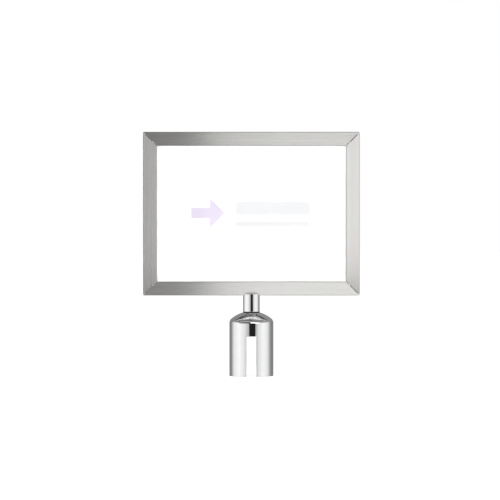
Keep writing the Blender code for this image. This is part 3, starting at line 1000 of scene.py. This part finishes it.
def make_nut():
    """A hexagon nut with turned corners, and the round collar that grips its nylon ring below."""
    across = NUT_HIGH.y - NUT_LOW.y
    collar_top = NUT_LOW.z + NUT_COLLAR_HEIGHT
    bm = hexagon(across, NUT_HIGH.z - collar_top)
    for vert in bm.verts:
        vert.co.z += (NUT_HIGH.z + collar_top) / 2
        vert.co.x, vert.co.y = vert.co.y, -vert.co.x
    nut = from_bmesh("lock_nut_hexagon", bm, STEEL)
    face, past_corner = across / 2 * 0.96, across / math.sqrt(3) * 1.01
    turned = [
        (0, collar_top), (face, collar_top), (past_corner, collar_top + NUT_CORNER_DROP),
        (past_corner, NUT_HIGH.z - NUT_CORNER_DROP), (face, NUT_HIGH.z), (0, NUT_HIGH.z),
    ]
    combine(nut, from_bmesh("nut_corners", revolve(turned, 96, False), None), "INTERSECT")
    below, above = NUT_LOW.z - MM, NUT_HIGH.z + MM
    bore = [(0, below), (ROD_HOLE, below), (ROD_HOLE, above), (0, above)]
    combine(nut, from_bmesh("nut_bore", revolve(bore, 48, False), None), "DIFFERENCE")
    soften(nut, 0.1 * MM)
    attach(nut, "frame")
    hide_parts("lock_nut")

    grip = ROD_HOLE + 0.9 * MM
    outer, lip = across / 2 * 0.93, COLLAR_LIP_RADIUS
    collar = [
        (grip, NUT_LOW.z + 0.2 * MM), (grip + 0.3 * MM, NUT_LOW.z), (outer - lip, NUT_LOW.z),
        (outer, NUT_LOW.z + lip), (outer, collar_top), (grip, collar_top),
    ]
    shell = from_bmesh("lock_nut_collar", revolve(collar, 96, True), STEEL)
    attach(soften(shell, 0.08 * MM), "frame")
    inner, outer, ring_low = ROD_HOLE - 0.15 * MM, grip - 0.05 * MM, NUT_LOW.z + 0.3 * MM
    gripping = [(inner, ring_low), (outer, ring_low), (outer, collar_top), (inner, collar_top)]
    ring = from_bmesh("lock_nut_nylon_ring", revolve(gripping, 96, True), WHITE_NYLON)
    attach(soften(ring, 0.08 * MM), "frame")


# --- Sleeve, seat plug and swivel washer ---
def dome_outline(inset, steps):
    """(radius, z) points from the sleeve's wall over its knuckle and crown to the flat land."""
    radius, top = SLEEVE_HIGH.x, SLEEVE_HIGH.z
    land = SWIVEL_HIGH.x + LAND_MARGIN
    crown_z = top - math.sqrt(CROWN_RADIUS**2 - land**2)
    knuckle_r = radius - KNUCKLE_RADIUS
    knuckle_z = crown_z + math.sqrt((CROWN_RADIUS - KNUCKLE_RADIUS) ** 2 - knuckle_r**2)
    join = math.degrees(math.asin(knuckle_r / (CROWN_RADIUS - KNUCKLE_RADIUS)))
    flat = math.degrees(math.acos((top - inset - crown_z) / (CROWN_RADIUS - inset)))
    points = arc((knuckle_r, knuckle_z), KNUCKLE_RADIUS - inset, 0, 90 - join, steps)
    points += arc((0, crown_z), CROWN_RADIUS - inset, 90 - join, 90 - flat, 2 * steps)[1:]
    return points


def make_sleeve():
    radius = SLEEVE_HIGH.x
    edge = math.degrees(math.asin(SLOT_WIDTH / 2 / radius))
    dome = dome_outline(0.0, 16)
    outline = [(radius, SLEEVE_LOW.z), (radius, SLOT_HEIGHT), (radius, dome[0][1] - 1 * MM)]
    outline += dome + [(ROD_HOLE, SLEEVE_HIGH.z)]
    bm = slotted_shell(
        outline, 240, (90 - edge, 90 + edge, 270 - edge, 270 + edge),
        lambda p: p.z < SLOT_HEIGHT and abs(p.x) < SLOT_WIDTH / 2,
    )
    sleeve = from_bmesh("cap_sleeve_chromed", bm, CHROME)
    thicken(sleeve, SLEEVE_WALL)
    soften(sleeve, 0.3 * MM, 3)
    level_faces(sleeve)
    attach(sleeve, "cap")
    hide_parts("cap_sleeve")


def make_seat_plug():
    ceiling, pocket = PLUG_HIGH.z - SEAT_WEB, NUT_POCKET_RADIUS
    outline = [(ROD_HOLE, ceiling), (pocket, ceiling), (pocket, PLUG_LOW.z)]
    outline += [(PLUG_HIGH.x, PLUG_LOW.z)]
    outline += dome_outline(SLEEVE_WALL + FIT_GAP, 6) + [(ROD_HOLE, PLUG_HIGH.z)]
    turned_piece(
        "seat_plug_moulded", "seat_plug", outline, 160, BLACK_NYLON, "cap", 0.4 * MM
    )


def make_swivel_washer():
    outline = ring_outline(ROD_HOLE, SWIVEL_LOW, SWIVEL_HIGH)
    turned_piece(
        "swivel_washer_moulded", "swivel_washer", outline, 160, BLACK_NYLON, "cap",
        0.15 * MM,
    )


# --- Room, lights and camera ---
# Upright panels before the frame: (name, x from, x to, z from, z to, brightness)
PANEL_DISTANCE = 1.0
FRONT_PANELS = (
    ("low_flag", -2.4, -0.085, 0.10, 0.55, 0.03),
    ("high_flag", -2.4, -0.085, 0.55, 1.3, 0.45),
    ("middle_softbox_left", -0.085, 0.03, 0.115, 0.62, 1.18),
    ("middle_softbox", 0.03, 0.35, 0.115, 0.62, 1.36),
    ("side_softbox", 0.35, 0.95, 0.10, 0.45, 1.7),
    ("lower_flag", -0.45, -0.085, -0.9, -0.085, 0.88),
    ("lower_softbox", -0.085, 0.95, -0.9, -0.085, 2.1),
)


def glow_card(name, x_low, x_high, z_low, z_high, strength):
    """A flat lit panel that the camera doesn't see, only what it lights and what reflects it."""
    mesh = bpy.data.meshes.new(name)
    y = -PANEL_DISTANCE
    corners = [(x_low, y, z_low), (x_high, y, z_low), (x_high, y, z_high), (x_low, y, z_high)]
    mesh.from_pydata(corners, [], [(0, 1, 2, 3)])
    glow = bpy.data.materials.new(name)
    glow.use_nodes = True
    tree = glow.node_tree
    tree.nodes.remove(tree.nodes["Principled BSDF"])
    light = tree.nodes.new("ShaderNodeEmission")
    light.inputs["Strength"].default_value = strength
    tree.links.new(light.outputs["Emission"], tree.nodes["Material Output"].inputs["Surface"])
    panel = add_object(name, mesh, glow)
    panel.visible_camera = False
    panel.visible_shadow = False
    panel.visible_transmission = False


def make_floor():
    mesh = bpy.data.meshes.new("pale_floor")
    reach = FLOOR_REACH
    mesh.from_pydata(
        [(-reach, -reach, 0), (reach, -reach, 0), (reach, reach, 0), (-reach, reach, 0)],
        [], [(0, 1, 2, 3)],
    )
    made = Finish("pale_floor")
    mottle = made.noise(3.0, detail=3)
    made.dress(made.tint(mottle, [(0.3, (0.86, 0.86, 0.86)), (0.7, (0.88, 0.88, 0.88))]))
    made.set(Roughness=0.9, Specular_IOR_Level=0.1)
    made.set(Emission_Color=(1, 1, 1, 1), Emission_Strength=FLOOR_GLOW)
    floor = add_object("pale_floor", mesh, made.material)
    floor.visible_glossy = False


# (degrees round from the viewer's side, positive towards the pull-off rail, brightness)
WALL_TONES = (
    (-180, 0.22), (-128, 0.26), (-117, 0.52), (-104, 0.85), (-67, 1.06), (-37, 0.84),
    (-19, 0.55), (-12.5, 0.48), (-10.5, 0.02), (20.5, 0.015), (22.5, 0.45), (27, 0.55),
    (36, 0.78), (60, 1.0), (81, 0.94), (98, 0.76), (110, 0.45), (125, 0.24), (180, 0.22),
)
CEILING_TONES = (
    (-180, 0.27), (-120, 0.25), (-60, 0.20), (-8, 0.12), (6, 0.20), (60, 0.30), (120, 0.30),
    (180, 0.27),
)
# Heights run from 0 straight down through 0.5 at the horizon to 1 straight up.
CEILING_FADE = (0.58, 0.65)
GROUND_FADE = (0.16, 0.26)
GROUND_TONE = 0.04


def make_world():
    """Pale walls with a dark gap towards the viewer, dim behind; a grey ceiling and dark ground.

    The camera sees plain white instead.
    """
    world = bpy.data.worlds.new("studio")
    bpy.context.scene.world = world
    world.use_nodes = True
    tree = world.node_tree
    back = tree.nodes["Background"]
    where = tree.nodes.new("ShaderNodeTexCoord")
    split = tree.nodes.new("ShaderNodeSeparateXYZ")
    tree.links.new(where.outputs["Generated"], split.inputs["Vector"])

    def math_node(operation, *values):
        node = tree.nodes.new("ShaderNodeMath")
        node.operation = operation
        for socket, value in zip(node.inputs, values):
            if isinstance(value, (int, float)):
                socket.default_value = value
            else:
                tree.links.new(value, socket)
        return node.outputs["Value"]

    def ramp(source, stops):
        node = tree.nodes.new("ShaderNodeValToRGB")
        elements = node.color_ramp.elements
        while len(elements) < len(stops):
            elements.new(1.0)
        for element, (position, grey) in zip(elements, stops):
            element.position = position
            element.color = (grey, grey, grey, 1.0)
        tree.links.new(source, node.inputs["Fac"])
        return node.outputs["Color"]

    def blend(factor, first, second):
        node = tree.nodes.new("ShaderNodeMix")
        node.data_type = "RGBA"
        tree.links.new(factor, node.inputs["Factor"])
        tree.links.new(first, node.inputs["A"])
        tree.links.new(second, node.inputs["B"])
        return node.outputs["Result"]

    def plain(grey):
        node = tree.nodes.new("ShaderNodeRGB")
        node.outputs[0].default_value = (grey, grey, grey, 1.0)
        return node.outputs[0]

    towards = math_node("MULTIPLY", split.outputs["Y"], -1.0)
    azimuth = math_node("ARCTAN2", split.outputs["X"], towards)
    share = math_node("MULTIPLY_ADD", azimuth, 1 / (2 * math.pi), 0.5)
    walls, ceiling = (
        ramp(share, [((turn / 360) + 0.5, grey) for turn, grey in tones])
        for tones in (WALL_TONES, CEILING_TONES)
    )
    height = math_node("MULTIPLY_ADD", split.outputs["Z"], 0.5, 0.5)
    start, end = CEILING_FADE
    above = ramp(height, [(0.0, 0.0), (start, 0.0), (end, 1.0), (1.0, 1.0)])
    start, end = GROUND_FADE
    below = ramp(height, [(0.0, 1.0), (start, 1.0), (end, 0.0), (1.0, 0.0)])
    room = blend(below, blend(above, walls, ceiling), plain(GROUND_TONE))
    path = tree.nodes.new("ShaderNodeLightPath")
    seen = blend(path.outputs["Is Camera Ray"], room, plain(1.0))
    tree.links.new(seen, back.inputs["Color"])
    back.inputs["Strength"].default_value = 1.0


def make_lamp():
    data = bpy.data.lights.new("soft_key", "AREA")
    data.shape = "RECTANGLE"
    data.size, data.size_y = LAMP_SIZE
    data.energy = LAMP_POWER
    lamp = bpy.data.objects.new("soft_key", data)
    bpy.context.scene.collection.objects.link(lamp)
    lamp.location = LAMP_PLACE
    lamp.rotation_euler = (FRAME_CENTRE - lamp.location).to_track_quat("-Z", "Y").to_euler()
    lamp.visible_glossy = False
    lamp.visible_camera = False


def make_camera():
    data = bpy.data.cameras.new("camera")
    data.sensor_width = SENSOR
    data.lens = SENSOR * FRAME_SHARE * (CAMERA_DISTANCE + RAIL_LOW.y) / FRAME_WIDTH
    data.clip_end = CAMERA_REACH
    camera = bpy.data.objects.new("camera", data)
    bpy.context.scene.collection.objects.link(camera)
    camera.location = (0, -CAMERA_DISTANCE, FRAME_CENTRE.z)
    aim = FRAME_CENTRE - Vector((AIM_LEFT, 0, AIM_DROP))
    camera.rotation_euler = (aim - camera.location).to_track_quat("-Z", "Y").to_euler()
    bpy.context.scene.camera = camera


# --- Making ---
make_camera()
make_world()
make_lamp()
make_floor()
for panel in FRONT_PANELS:
    glow_card(*panel)

rail("top_rail_extrusion", "top_rail", UP, RIGHT, "frame", BRUSHED_ALONG_X)
rail("bottom_rail_extrusion", "bottom_rail", -UP, RIGHT, "frame", BRUSHED_ALONG_X)
rail("left_rail_extrusion", "left_rail", -RIGHT, UP, "frame", BRUSHED_ALONG_Z)
rail("side_rail_extrusion", "side_rail", RIGHT, UP, "side_rail", BRUSHED_ALONG_Z)
make_screws()
side_key("side_key_top_casting", "side_key_top", 1)
side_key("side_key_bottom_casting", "side_key_bottom", -1)
for hidden, finish in (
    ("corner_key_top_left", ZINC), ("corner_key_bottom_left", ZINC), ("nut_block", STEEL),
):
    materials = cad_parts[hidden].data.materials
    materials.clear()
    materials.append(finish)

flat_sheet("front_cover_sheet", "front_cover", ACRYLIC, COVER_EDGE)
flat_sheet("rear_cover_sheet", "rear_cover", ACRYLIC, COVER_EDGE)
flat_sheet("sign_card_stock", "sign_card", CARD, CARD_EDGE)
print_shapes(-1, "front_print")
print_shapes(1, "rear_print")

make_stem()
make_fastenings()
make_sleeve()
make_seat_plug()
make_swivel_washer()

bpy.context.scene.view_settings.view_transform = "Standard"
